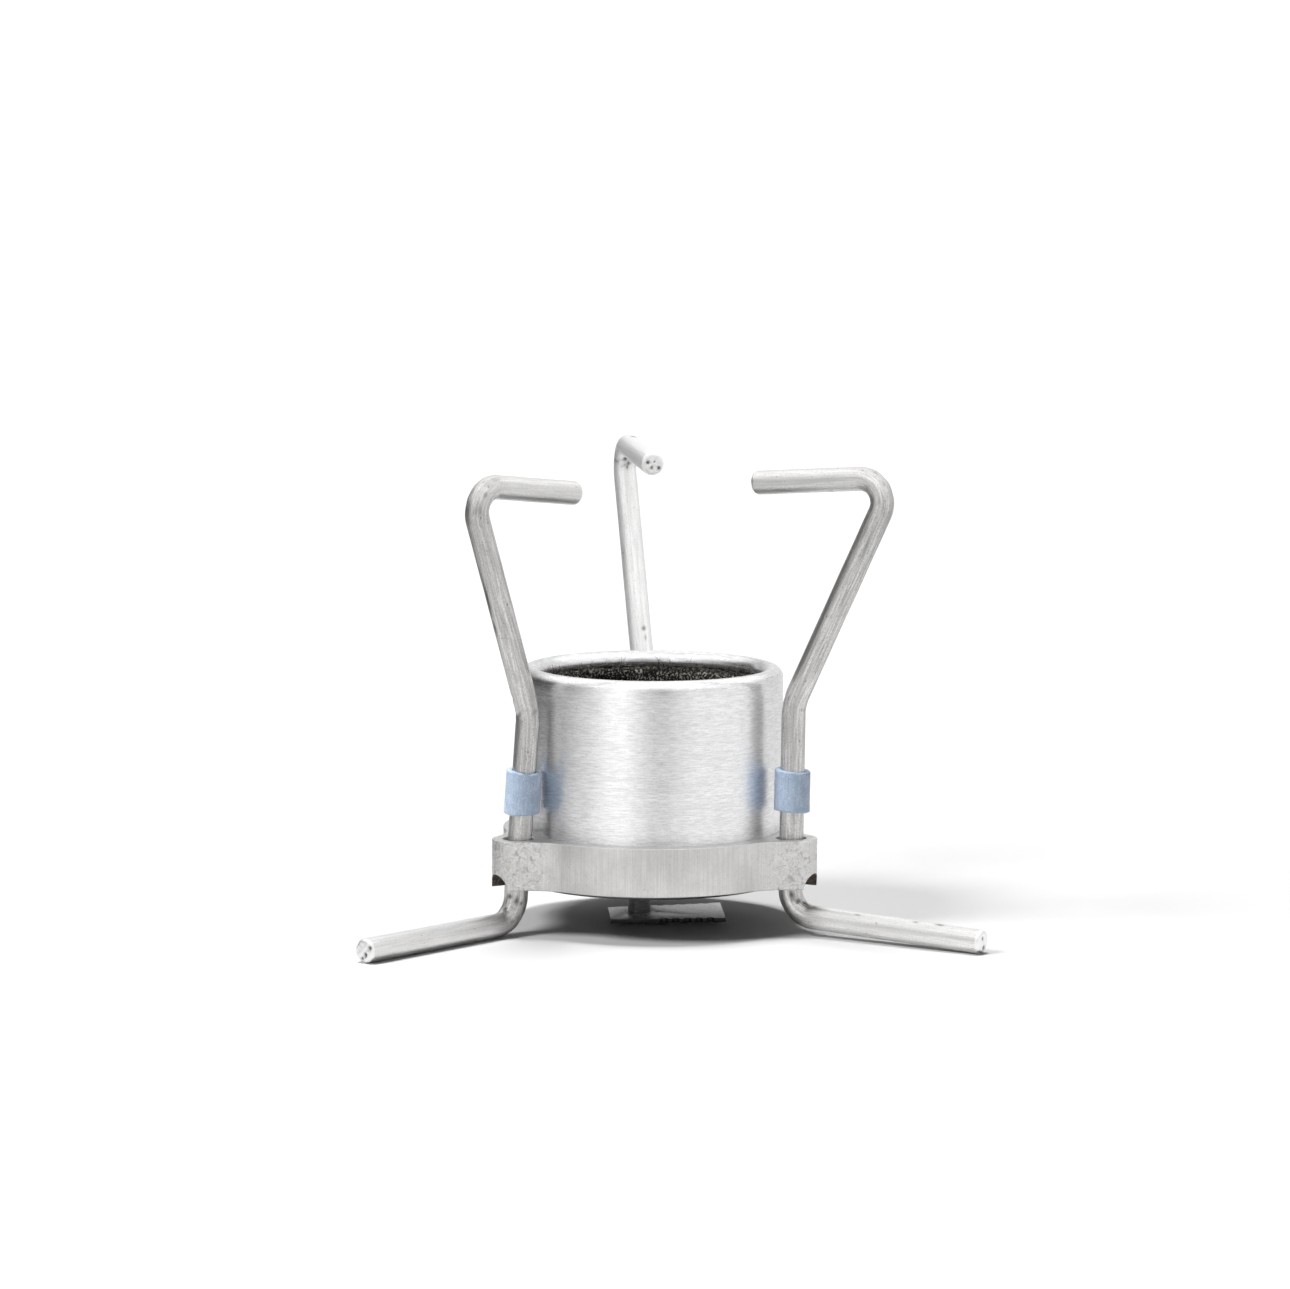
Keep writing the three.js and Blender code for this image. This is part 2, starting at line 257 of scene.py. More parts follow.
def cut_mesh(mesh, tools, operation="DIFFERENCE"):
    """The mesh less the tool meshes, or what they share. The tools are used up."""
    base = linked("cut_base", mesh)
    helpers = []
    for tool in tools:
        helper = linked("cut_tool", tool)
        helpers.append(helper)
        modifier = base.modifiers.new("cut", "BOOLEAN")
        modifier.operation = operation
        modifier.solver = "EXACT"
        modifier.object = helper
    result = baked(base)
    for thing in [base] + helpers:
        bpy.data.objects.remove(thing)
    weld(result)
    return result


def rod_tool(radius, length, angle, start):
    """A cylinder lying along a direction in the XY plane, to cut with."""
    mesh = turned_mesh("tool", [(0, 0), (radius, 0), (radius, length), (0, length)], 64)
    mesh.transform(Matrix.Rotation(math.radians(90), 4, "Y"))
    mesh.transform(Matrix.Rotation(math.radians(angle), 4, "Z"))
    mesh.transform(Matrix.Translation(start))
    return mesh


def circle(centre, radius, steps=48):
    return round_points(centre, radius, [2 * math.pi * step / steps for step in range(steps)])


def arc_run(centre, radius, start, end, step=0.12):
    """Points on an arc in the XY plane, angles in radians, about step millimetres apart."""
    count = max(4, math.ceil(abs(end - start) * radius / step))
    return round_points(centre, radius, [start + (end - start) * i / count for i in range(count)])


def ring_faces(rows):
    """Faces between rings of point numbers, and over both ends."""
    faces = []
    for low, high in zip(rows, rows[1:]):
        for i in range(len(low)):
            j = (i + 1) % len(low)
            faces.append((low[i], low[j], high[j], high[i]))
    return faces + [tuple(reversed(rows[0])), tuple(rows[-1])]


# ---- node helpers ----

class Tree:
    """Short ways to build a node tree."""

    def __init__(self, tree):
        self.tree = tree

    def add(self, kind, **settings):
        node = self.tree.nodes.new(kind)
        for key, value in settings.items():
            setattr(node, key, value)
        return node

    def link(self, source, target):
        self.tree.links.new(source, target)

    def feed(self, socket, value):
        if isinstance(value, bpy.types.NodeSocket):
            self.link(value, socket)
        elif value is not None:
            socket.default_value = value

    def math(self, operation, a, b=None, c=None):
        node = self.add("ShaderNodeMath", operation=operation)
        for socket, value in zip(node.inputs, (a, b, c)):
            self.feed(socket, value)
        return node.outputs[0]

    def times(self, a, b):
        return self.math("MULTIPLY", a, b)

    def plus(self, a, b):
        return self.math("ADD", a, b)

    def parts(self, vector):
        node = self.add("ShaderNodeSeparateXYZ")
        self.link(vector, node.inputs[0])
        return node.outputs

    def scaled(self, vector, scale):
        node = self.add("ShaderNodeVectorMath", operation="MULTIPLY")
        self.link(vector, node.inputs[0])
        node.inputs[1].default_value = scale
        return node.outputs[0]

    def span(self, value, low, high, to_low=0.0, to_high=1.0, ease="SMOOTHSTEP"):
        """How far the value is from low to high, laid out between the last two numbers."""
        node = self.add("ShaderNodeMapRange", clamp=True, interpolation_type=ease)
        self.link(value, node.inputs["Value"])
        for key, number in zip(("From Min", "From Max", "To Min", "To Max"), (low, high, to_low, to_high)):
            self.feed(node.inputs[key], number)
        return node.outputs["Result"]

    def mix(self, factor, a, b):
        node = self.add("ShaderNodeMix", data_type="RGBA")
        self.feed(node.inputs["Factor"], factor)
        sockets = [socket for socket in node.inputs if socket.type == "RGBA"]
        for socket, value in zip(sockets, (a, b)):
            self.feed(socket, value if isinstance(value, bpy.types.NodeSocket) else (*value, 1))
        return [socket for socket in node.outputs if socket.type == "RGBA"][0]


class Look(Tree):
    """A material with one shader, whose patterns are laid out in millimetres."""

    def __init__(self, name):
        self.material = bpy.data.materials.new(name)
        self.material.use_nodes = True
        super().__init__(self.material.node_tree)
        self.shader = self.tree.nodes["Principled BSDF"]

    def set(self, socket, value):
        self.shader.inputs[socket].default_value = value

    def point(self):
        place = self.add("ShaderNodeTexCoord").outputs["Object"]
        return self.scaled(place, (1 / MM, 1 / MM, 1 / MM))

    def attribute(self, name, output):
        return self.add("ShaderNodeAttribute", attribute_name=name).outputs[output]

    def upwards(self):
        """How nearly a face looks straight up or down, from 0 to 1."""
        normal = self.add("ShaderNodeNewGeometry").outputs["Normal"]
        return self.math("ABSOLUTE", self.parts(normal)[2])

    def noise(self, vector, scale, detail=3, roughness=0.55, distortion=0):
        """Noise of one scale, or with a scale of its own along each axis."""
        if isinstance(scale, tuple):
            vector, scale = self.scaled(vector, scale), 1
        node = self.add("ShaderNodeTexNoise")
        self.link(vector, node.inputs["Vector"])
        settings = {"Scale": scale, "Detail": detail, "Roughness": roughness, "Distortion": distortion}
        for key, value in settings.items():
            node.inputs[key].default_value = value
        return node.outputs["Fac"]

    def cells(self, vector, scale):
        node = self.add("ShaderNodeTexVoronoi")
        self.link(self.scaled(vector, scale), node.inputs["Vector"])
        node.inputs["Scale"].default_value = 1
        return node.outputs["Distance"]

    def bump(self, height, distance, normal=None):
        """A bump whose height of 1 stands distance millimetres proud."""
        node = self.add("ShaderNodeBump")
        self.link(height, node.inputs["Height"])
        node.inputs["Distance"].default_value = distance * MM
        node.inputs["Strength"].default_value = 1
        self.feed(node.inputs["Normal"], normal)
        return node.outputs["Normal"]

    def colour(self, value):
        self.feed(self.shader.inputs["Base Color"], value)

    def roughness(self, value):
        self.feed(self.shader.inputs["Roughness"], value)

    def normal(self, value):
        self.link(value, self.shader.inputs["Normal"])


# ---- materials, laid out in millimetres ----

# Places along a rod, in millimetres from its foot's end.
FOOT_PAINTED_BRIGHT = 26  # painted highlight: the foot is painted lighter up to here, for the bright light on it
ARM_PAINTED_BRIGHT = 87  # and the arm is painted lighter from here on, likewise
ARM_END = 104.4

LEVER_TONES = ((0.63, 0.625, 0.615), (1, 0.995, 0.985))
# Painted shade: the near-black that the lever's side faces are painted, for the shadow they sit in.
LEVER_PAINTED_SHADE_TONE = (0.045, 0.044, 0.043)


def cup_material():
    """Aluminium brushed round and round, polished smooth over the rolled lip, with painted shade along its
    bottom edge under the plate.
    """
    n = Look("cup_aluminium")
    point = n.point()
    height = n.parts(point)[2]
    fine = n.noise(point, (0.7, 0.7, 8), 3, 0.65)
    broad = n.noise(point, (0.1, 0.1, 2.6), 3, 0.6)
    grain = n.noise(point, (4.5, 4.5, 6), 2)
    lip = n.span(height, CUP_TOP - 2.4, CUP_TOP - 1.2)
    lines = n.plus(n.times(fine, 0.8), n.times(broad, 0.2))
    brushed = n.times(lines, n.math("SUBTRACT", 1.0, n.times(lip, 0.85)))
    tone = n.span(lines, 0.36, 0.64)
    base = n.mix(tone, (0.73, 0.73, 0.738), (0.98, 0.98, 0.988))
    base = n.mix(n.span(grain, 0.52, 0.72, 0, 0.4), base, (0.55, 0.55, 0.56))
    cloud = n.noise(point, (0.6, 0.6, 1.6), 4, 0.7, 1)
    base = n.mix(n.times(lip, n.span(cloud, 0.42, 0.62, 0.05, 0.45)), base, (0.72, 0.72, 0.73))
    # Painted shade: the cup's lowest millimetre or so is painted near-black, for the shadow it sits in under
    # the plate.
    n.colour(n.mix(n.span(height, CUP_BOTTOM + 0.6, CUP_BOTTOM + 1.4, 0.9, 0), base, (0.06, 0.058, 0.055)))
    rough = n.span(broad, 0.35, 0.65, 0.31, 0.37)
    n.roughness(n.math("SUBTRACT", rough, n.times(lip, 0.06)))
    n.set("Metallic", 1)
    n.set("Anisotropic", 0.72)
    n.set("Anisotropic Rotation", 0.25)
    tangent = n.add("ShaderNodeTangent", direction_type="RADIAL", axis="Z")
    n.link(tangent.outputs[0], n.shader.inputs["Tangent"])
    n.normal(n.bump(grain, 0.004, n.bump(brushed, 0.035)))
    return n.material


def plate_material():
    """Bar stock with upright cutter marks on its sides, rolled faces, and scuffed lobes."""
    n = Look("plate_aluminium")
    point = n.point()
    face = n.span(n.upwards(), 0.6, 0.9)
    marks = n.noise(point, (8, 8, 0.15), 3, 0.6)
    rolled = n.noise(point, (0.25, 6, 1), 3, 0.6)
    lines = n.plus(n.times(marks, n.math("SUBTRACT", 1.0, face)), n.times(rolled, face))
    cloud = n.noise(point, 0.35, 3)
    worn = n.noise(point, 1.1, 5, 0.62, 1.2)
    speck = n.noise(point, 5, 2, 0.6)
    x, y, _ = n.parts(point)
    out = n.math("SQRT", n.plus(n.times(x, x), n.times(y, y)))
    lobes = n.span(out, RING_RADIUS - 0.2, RING_RADIUS + 1.8)
    scuff = n.times(n.span(worn, 0.52, 0.66), n.plus(n.times(lobes, 0.8), 0.12))
    base = n.mix(n.span(lines, 0.25, 0.75), (0.56, 0.552, 0.545), (0.71, 0.704, 0.697))
    base = n.mix(n.span(cloud, 0.4, 0.6, 0, 0.4), base, (0.57, 0.562, 0.555))
    mottle = n.times(n.span(n.noise(point, 1.7, 3, 0.6, 2), 0.45, 0.6), n.plus(lobes, 0.1))
    base = n.mix(n.times(mottle, 0.55), base, (0.8, 0.795, 0.79))
    base = n.mix(n.span(speck, 0.58, 0.72, 0, 0.5), base, (0.4, 0.395, 0.39))
    n.colour(n.mix(scuff, base, (0.42, 0.415, 0.41)))
    n.roughness(n.span(cloud, 0.3, 0.7, 0.36, 0.5))
    n.set("Metallic", 1)
    dents = n.bump(n.times(worn, n.plus(lobes, 0.15)), 0.22)
    n.normal(n.bump(lines, 0.03, dents))
    return n.material


def groove_floor_material():
    """The dark brown, mottled floor of the grooves that the feet drop into."""
    n = Look("dark_brown_groove")
    point = n.point()
    groove_mottle = n.noise(point, 1.6, 5, 0.6, 0.8)
    n.colour(n.mix(n.span(groove_mottle, 0.35, 0.7), (0.045, 0.036, 0.03), (0.2, 0.165, 0.14)))
    n.roughness(n.span(groove_mottle, 0.3, 0.7, 0.75, 0.5))
    n.set("Metallic", 0.6)
    n.normal(n.bump(groove_mottle, 0.12))
    return n.material


def rod_material(name, dark, light, dirt, rough):
    """Drawn aluminium rod: fine lengthways lines, small pits, and a dull satin skin, with painted highlight
    on the foot and the arm.
    """
    n = Look(name)
    along = n.attribute("rod_place", "Vector")
    fine = n.noise(along, (5.5, 5.5, 0.22), 4, 0.65)
    streaks = n.noise(along, (1.7, 1.7, 0.06), 2)
    speckle = n.noise(along, (7, 7, 5), 3, 0.7)
    pits = n.span(n.cells(along, (1.1, 1.1, 0.8)), 0.06, 0.17, 1, 0)
    patchy = n.span(n.noise(along, 0.5, 2), 0.5, 0.62)
    pits = n.times(pits, patchy)
    base = n.mix(n.span(fine, 0.32, 0.68), dark, light)
    base = n.mix(n.span(streaks, 0.35, 0.62, 0.55 * dirt, 0), base, (0.42, 0.41, 0.4))
    base = n.mix(n.span(speckle, 0.52, 0.66, 0, 0.7 * dirt), base, (0.27, 0.26, 0.25))
    base = n.mix(n.times(pits, 0.7), base, (0.16, 0.15, 0.145))
    run = n.parts(along)[2]
    # Painted highlight: the foot and the arm are painted lighter, for the bright reflections on them; the
    # sheared ends are lighter too.
    arm = n.span(run, ARM_PAINTED_BRIGHT - 4, ARM_PAINTED_BRIGHT + 4, 0, 0.45)
    foot = n.span(run, FOOT_PAINTED_BRIGHT - 4, FOOT_PAINTED_BRIGHT, 0.5, 0)
    sheared = n.plus(n.span(run, 0.3, 0.6, 0.35, 0), n.span(run, ARM_END - 0.6, ARM_END - 0.3, 0, 0.35))
    base = n.mix(n.plus(n.plus(arm, foot), sheared), base, (0.95, 0.945, 0.94))
    n.colour(n.mix(n.attribute("rod_wear", "Fac"), base, (0.1, 0.095, 0.09)))
    n.roughness(n.span(speckle, 0.35, 0.65, rough - 0.08, rough + 0.08))
    n.set("Metallic", 1)
    lines = n.bump(fine, 0.03)
    grain = n.bump(speckle, 0.012, lines)
    n.normal(n.bump(n.times(pits, -1.0), 0.06, grain))
    return n.material


def silicone_material():
    """Milky pale blue tubing, a little translucent, with dust on it."""
    n = Look("silicone")
    point = n.point()
    cloud = n.noise(point, 0.8, 3)
    dust = n.noise(point, (6.5, 6.5, 4), 3, 0.72)
    drawn = n.noise(point, (4, 4, 0.5), 2, 0.6)
    base = n.mix(n.span(cloud, 0.35, 0.65), (0.385, 0.48, 0.615), (0.475, 0.565, 0.695))
    base = n.mix(n.span(drawn, 0.4, 0.55, 0.6, 0), base, (0.33, 0.42, 0.57))
    base = n.mix(n.span(dust, 0.3, 0.48, 0.5, 0), base, (0.35, 0.45, 0.6))
    n.colour(n.mix(n.span(dust, 0.55, 0.66, 0, 0.7), base, (0.78, 0.84, 0.93)))
    n.roughness(n.span(dust, 0.4, 0.7, 0.34, 0.62))
    n.set("Subsurface Weight", 0.35)
    n.set("Subsurface Radius", (0.3, 0.6, 1.0))
    n.set("Subsurface Scale", 0.8 * MM)
    n.set("Coat Weight", 0.12)
    n.set("Coat Roughness", 0.35)
    n.normal(n.bump(dust, 0.09, n.bump(drawn, 0.09, n.bump(cloud, 0.16))))
    return n.material


def felt_material():
    """Black carbon felt with singed, tan flecks, most of them near the flame."""
    n = Look("carbon_felt")
    point = n.point()
    tangle = n.noise(point, 4, 5, 0.75, 2)
    fleck = n.noise(point, 3.8, 2, 0.6, 0.5)
    base = n.mix(n.span(tangle, 0.35, 0.7), (0.003, 0.003, 0.004), (0.026, 0.024, 0.022))
    singed = n.span(n.parts(point)[2], CUP_TOP - 9, CUP_TOP - 4, 0.2, 1)
    n.colour(n.mix(n.times(n.span(fleck, 0.55, 0.6), singed), base, (0.62, 0.565, 0.5)))
    n.roughness(n.span(tangle, 0.3, 0.7, 0.98, 0.8))
    n.set("Specular IOR Level", 0.15)
    n.set("Sheen Weight", 0.08)
    n.set("Sheen Roughness", 0.5)
    n.normal(n.bump(tangle, 0.5))
    return n.material


def steel_material(name, dark, light, rough, heat=0.0):
    """Turned or rolled steel, with heat colours where heat is above nought."""
    n = Look(name)
    point = n.point()
    lines = n.noise(point, (0.6, 0.6, 14), 3, 0.6)
    grain = n.noise(point, 5, 4, 0.65)
    cloud = n.noise(point, 0.4, 3, 0.6, 0.6)
    base = n.mix(n.span(n.plus(lines, n.times(grain, 0.3)), 0.4, 0.9), dark, light)
    tint = n.mix(n.span(cloud, 0.35, 0.65), (0.36, 0.27, 0.17), (0.2, 0.2, 0.27))
    n.colour(n.mix(n.times(n.span(cloud, 0.4, 0.6, 0.5, 1), heat), base, tint))
    n.roughness(n.span(grain, 0.3, 0.7, rough - 0.07, rough + 0.09))
    n.set("Metallic", 1)
    n.normal(n.bump(lines, 0.015, n.bump(grain, 0.02)))
    return n.material


def lever_material():
    """Rolled sheet, bright on its faces, with painted shade on its sheared edge and in the notches: every
    side face is painted near-black.
    """
    n = Look("lever_steel")
    point = n.point()
    face = n.span(n.upwards(), 0.4, 0.8)
    mottle = n.noise(point, 3.2, 4, 0.7)
    rolled = n.noise(point, (0.5, 6, 1), 3, 0.6)
    skin = n.plus(n.times(mottle, 0.65), n.times(rolled, 0.35))
    bright = n.mix(n.span(skin, 0.4, 0.6), LEVER_TONES[0], LEVER_TONES[1])
    # Painted shade: faces that don't look up or down take the painted shade tone.
    n.colour(n.mix(face, LEVER_PAINTED_SHADE_TONE, bright))
    n.roughness(n.span(mottle, 0.3, 0.7, 0.36, 0.5))
    n.set("Metallic", 1)
    n.normal(n.bump(rolled, 0.012, n.bump(mottle, 0.03)))
    return n.material


def rubber_material():
    n = Look("seal_rubber")
    point = n.point()
    grain = n.noise(point, 7, 3)
    n.colour(n.mix(grain, (0.015, 0.015, 0.016), (0.04, 0.04, 0.042)))
    n.roughness(n.span(grain, 0.3, 0.7, 0.55, 0.75))
    n.normal(n.bump(grain, 0.02))
    return n.material


def floor_material():
    n = Look("pale_floor")
    point = n.point()
    grain = n.noise(point, 0.8, 2)
    n.colour(n.mix(grain, (0.525, 0.525, 0.525), (0.54, 0.54, 0.54)))
    n.roughness(0.65)
    n.set("Specular IOR Level", 0.2)
    return n.material


# ---- the legs ----

def bent_path(corners, radii, step):
    """Points step millimetres apart along corners joined by straights, with rounded corners.

    The second list says how far into a bend each point is, from 0 on a straight to 1 in mid bend.
    """
    pieces = []
    last = corners[0]
    for i, radius in enumerate(radii):
        corner = corners[i + 1]
        arriving = (corner - corners[i]).normalized()
        leaving = (corners[i + 2] - corner).normalized()
        turn = arriving.angle(leaving)
        start = corner - arriving * radius * math.tan(turn / 2)
        inwards = (leaving - arriving * math.cos(turn)).normalized()
        pieces.append(("straight", last, start))
        pieces.append(("bend", start, arriving, inwards, radius, turn))
        last = corner + leaving * radius * math.tan(turn / 2)
    pieces.append(("straight", last, corners[-1]))
    points, bends = [corners[0]], [0.0]
    for piece in pieces:
        if piece[0] == "straight":
            _, a, b = piece
            count = max(1, round((b - a).length / step))
            points += [a.lerp(b, (k + 1) / count) for k in range(count)]
            bends += [0.0] * count
            continue
        _, start, arriving, inwards, radius, turn = piece
        count = max(4, math.ceil(radius * turn / step))
        for k in range(1, count + 1):
            angle = turn * k / count
            points.append(start + (arriving * math.sin(angle) + inwards * (1 - math.cos(angle))) * radius)
            bends.append(math.sin(math.pi * k / count))
    return points, bends


def rod_corners():
    """The bent rod in its own XZ plane, in millimetres: the foot meets the upright at nought."""
    droop, lean, sag = (math.radians(v) for v in (FOOT_DROOP, LEAN_ANGLE, ARM_DROOP))
    foot = Vector((math.cos(droop), 0, -math.sin(droop))) * (FOOT_LENGTH - END_TRIM)
    knee = Vector((0, 0, UPRIGHT_LENGTH))
    shoulder = knee + Vector((LEAN_LENGTH * math.sin(lean), 0, LEAN_LENGTH * math.cos(lean)))
    arm = shoulder + Vector((-math.cos(sag), 0, -math.sin(sag))) * (ARM_LENGTH - END_TRIM)
    return [foot, Vector((0, 0, 0)), knee, shoulder, arm]


# Nicks in each rod: millimetres along it from the foot's end, degrees round it from its outer side,
# length, width and depth in millimetres, and how dark each is.
NICKS = {
    "left": [(30.6, 8, 0.5, 0.6, 0.14, 1), (30, 47, 1, 0.45, 0.1, 1), (27.9, 4, 0.4, 0.5, 0.12, 1),
             (29.7, 75, 0.4, 0.3, 0.1, 1), (72.4, 339, 3.3, 0.5, 0.12, 1), (68, 342, 1.2, 0.3, 0.08, 1),
             (57.2, 316, 0.4, 0.5, 0.2, 1), (54.5, 324, 0.5, 0.5, 0.14, 1), (60.5, 30, 1.2, 0.3, 0.04, 0.4),
             (88, 40, 0.9, 0.6, 0.05, 0.4)],
    "right": [(29.6, 303, 1, 0.45, 0.1, 1), (28.2, 325, 0.5, 0.6, 0.14, 1), (27.2, 350, 0.4, 0.5, 0.1, 1),
              (6.2, 346, 0.8, 0.3, 0.07, 1), (9.6, 340, 0.5, 0.25, 0.05, 0.8), (18, 330, 0.5, 0.2, 0.05, 0.8),
              (78, 300, 2, 0.3, 0.05, 0.4), (14, 60, 0.6, 0.3, 0.08, 0.7), (93, 200, 0.5, 0.3, 0.1, 0.6)],
    "back": [(60, 190, 0.4, 0.4, 0.12, 0.9), (58.7, 193, 0.5, 0.14, 0.06, 0.9),
             (86.6, 168, 0.6, 0.45, 0.15, 1), (85, 186, 0.9, 0.3, 0.1, 1),
             (84, 180, 0.7, 0.2, 0.06, 0.9), (90.5, 349, 0.6, 0.6, 0.12, 1)],
}
# Pits in the end faces of the arms and the feet: millimetres from the middle, degrees round it,
# radius and depth.
ARM_PITS = {"back": [(0.72, 75, 0.3, 0.3), (0.5, 165, 0.25, 0.22), (1, 235, 0.3, 0.3),
                     (0.35, 330, 0.14, 0.1)],
            "left": [(0.6, 100, 0.2, 0.12)], "right": [(0.8, 200, 0.22, 0.15)]}
FOOT_PITS = {"left": [(0.5, 40, 0.35, 0.25), (1.1, 120, 0.35, 0.3), (1, 350, 0.3, 0.2)],
             "right": [(0.9, 20, 0.4, 0.3), (0.5, 200, 0.25, 0.15)], "back": [(0.7, 90, 0.3, 0.2)]}
ROD_SIDES = 48
ROD_STEP = 0.25
END_SHAPE = [(0.1, 0.45), (0.25, 0.45), (0.4, 0.45), (0.54, 0.45), (0.66, 0.44), (0.76, 0.42), (0.84, 0.38),
             (0.9, 0.32), (0.95, 0.24), (0.985, 0.14)]  # share of the radius, and height above the shoulder
SHOULDER = 0.45
SIDE_WAY = Vector((0, 1, 0))  # square to the plane that a rod is bent in


def nick_at(nicks, run, heading):
    """How deep and how dark the rod's surface is nicked at a place."""
    depth = dark = 0.0
    for where, centre, length, width, deep, strength in nicks:
        off = (run - where) / length
        swing = math.radians((heading - centre + 180) % 360 - 180) * ROD_RADIUS / width
        weight = math.exp(-2 * (off * off + swing * swing))
        depth += deep * weight
        dark = max(dark, strength * weight)
    return depth, dark


def rod_mesh(side, seed):
    """The rod with its nicks, the scuffs inside its bends, and its nipped, rounded ends."""
    draw = random.Random(seed)
    path, bends = bent_path(rod_corners(), BEND_RADII, ROD_STEP)
    travelled = [0.0]
    for a, b in zip(path, path[1:]):
        travelled.append(travelled[-1] + (b - a).length)
    total = travelled[-1]
    points, places, wear, rows = [], [], [], []

    def add_ring(centre, tangent, run, bend, shrink=1.0):
        out_way = SIDE_WAY.cross(tangent).normalized()
        row = []
        for i in range(ROD_SIDES):
            angle = 2 * math.pi * i / ROD_SIDES
            across = Vector((math.cos(angle), math.sin(angle), 0))
            swell = noise.noise(Vector((across.x * 1.3 + seed, across.y * 1.3, run * 0.35)))
            deep, dark = nick_at(NICKS[side], run, math.degrees(angle))
            scuff = noise.noise(Vector((across.x * 2.2 + 9 * seed, across.y * 2.2, run * 1.1)))
            squeezed = bend * max(0.0, 0.35 + abs(across.x) * scuff)
            radius = (ROD_RADIUS - 0.03 + 0.02 * swell - deep - 0.1 * squeezed) * shrink
            row.append(len(points))
            points.append(centre + (out_way * across.x + SIDE_WAY * across.y) * radius)
            places.append((across.x * ROD_RADIUS * shrink + 7 * seed, across.y * ROD_RADIUS * shrink, run))
            wear.append(min(1.0, dark + 0.9 * bend * max(0.0, scuff - 0.12)))
        rows.append(row)

    ahead, behind = path[1:] + path[-1:], path[:1] + path[:-1]
    tangents = [(b - a).normalized() for a, b in zip(behind, ahead)]
    for share, height in END_SHAPE:
        depth = SHOULDER - height
        add_ring(path[0] + tangents[0] * depth, tangents[0], depth, 0, share)
    first_rows = rows[:]
    for centre, tangent, run, bend in zip(path, tangents, travelled, bends):
        if SHOULDER < run < total - SHOULDER:
            add_ring(centre, tangent, run, bend)
    for share, height in reversed(END_SHAPE):
        depth = SHOULDER - height
        add_ring(path[-1] - tangents[-1] * depth, tangents[-1], total - depth, 0, share)
    last_rows = rows[-len(END_SHAPE):]
    nip_end(points, first_rows, path[0], -tangents[0], draw)
    nip_end(points, last_rows, path[-1], tangents[-1], draw)
    press_pits(points, wear, first_rows, path[0], -tangents[0], FOOT_PITS[side])
    press_pits(points, wear, last_rows, path[-1], tangents[-1], ARM_PITS[side])
    mesh = mesh_from("rod", points, ring_faces(rows))
    for item, place in zip(mesh.attributes.new("rod_place", "FLOAT_VECTOR", "POINT").data, places):
        item.vector = place
    for item, value in zip(mesh.attributes.new("rod_wear", "FLOAT", "POINT").data, wear):
        item.value = value
    return mesh


def end_way(outwards, angle):
    """The direction across a rod's end face at an angle in radians."""
    across = SIDE_WAY.cross(outwards).normalized()
    return across * math.cos(angle) + SIDE_WAY * math.sin(angle)


def press_pits(points, wear, rows, tip, outwards, pits):
    """Small dark dents in an end face."""
    for distance, degrees, radius, depth in pits:
        centre = end_way(outwards, math.radians(degrees)) * distance
        for row in rows:
            for index in row:
                offset = points[index] - tip
                flat = offset - outwards * offset.dot(outwards)
                weight = math.exp(-2 * ((flat - centre).length / radius) ** 2)
                points[index] -= outwards * depth * weight
                wear[index] = max(wear[index], min(1.0, 1.3 * weight))


def nip_end(points, rows, tip, outwards, draw):
    """Cutters leave two or three small flats and a chipped edge: press the end's points onto them."""
    flats = []
    for _ in range(3):
        angle = draw.uniform(0, 2 * math.pi)
        slope = math.radians(draw.uniform(35, 62))
        normal = outwards * math.cos(slope) + end_way(outwards, angle) * math.sin(slope)
        reach = ROD_RADIUS * math.sin(slope) * draw.uniform(0.72, 0.9)
        flats.append((normal, reach))
    for row in rows:
        for index in row:
            offset = points[index] - tip
            for normal, reach in flats:
                over = offset.dot(normal) - reach
                if over > 0:
                    offset -= normal * over
            rough = noise.noise(offset * 2.2 + Vector((draw.random() * 0.02, 0, 5)))
            offset -= outwards * 0.06 * (rough + 0.6)
            points[index] = tip + offset


def leg_matrix(side):
    """Where the leg stands: turned, leaning in its bore, and with its foot on the ground."""
    tilt, lean_to = LEG_TILTS[side]
    turn = Quaternion((0, 0, 1), math.radians(LOBE_ANGLES[side] + LEG_TURNS[side]))
    lean = Quaternion(around(1, lean_to + 90), math.radians(tilt))
    rotation = (lean @ turn).to_matrix().to_4x4()
    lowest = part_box("leg_" + side)[0].z
    corners = [rotation @ corner for corner in rod_corners()]
    upright = rotation @ Vector((0, 0, 1))
    floor_gap = min(corners[0].z, corners[1].z) - ROD_RADIUS
    rise = lowest / MM - floor_gap
    bore = Vector(JOINTS[side + "_leg_swivel"]["pos_m"]) / MM
    place = bore - upright * ((bore.z - rise) / upright.z)
    return Matrix.Translation(place * MM) @ rotation, rise, upright


def make_leg(side, seed, rod_look, silicone):
    matrix, rise, upright = leg_matrix(side)
    rod = finish_mesh(side + "_leg_rod", rod_mesh(side, seed), sharp=50, stand=matrix)
    dress(rod, [rod_look], side + "_leg", "leg_" + side)
    bottom, top = node_span("sleeve_" + side)
    start = (bottom - rise) / upright.z + SLEEVE_RISE
    tube = sleeve_mesh(start, top - bottom - SLEEVE_SHORTFALL, seed)
    sleeve = finish_mesh(side + "_silicone_sleeve", tube, sharp=60, stand=matrix)
    dress(sleeve, [silicone], side + "_leg", "sleeve_" + side)


SLEEVE_OUTER = 2.35
SLEEVE_RISE = 0.08  # the cut ends slope, so the tube starts this much higher than the CAD's
SLEEVE_SHORTFALL = 0.25  # and is this much shorter


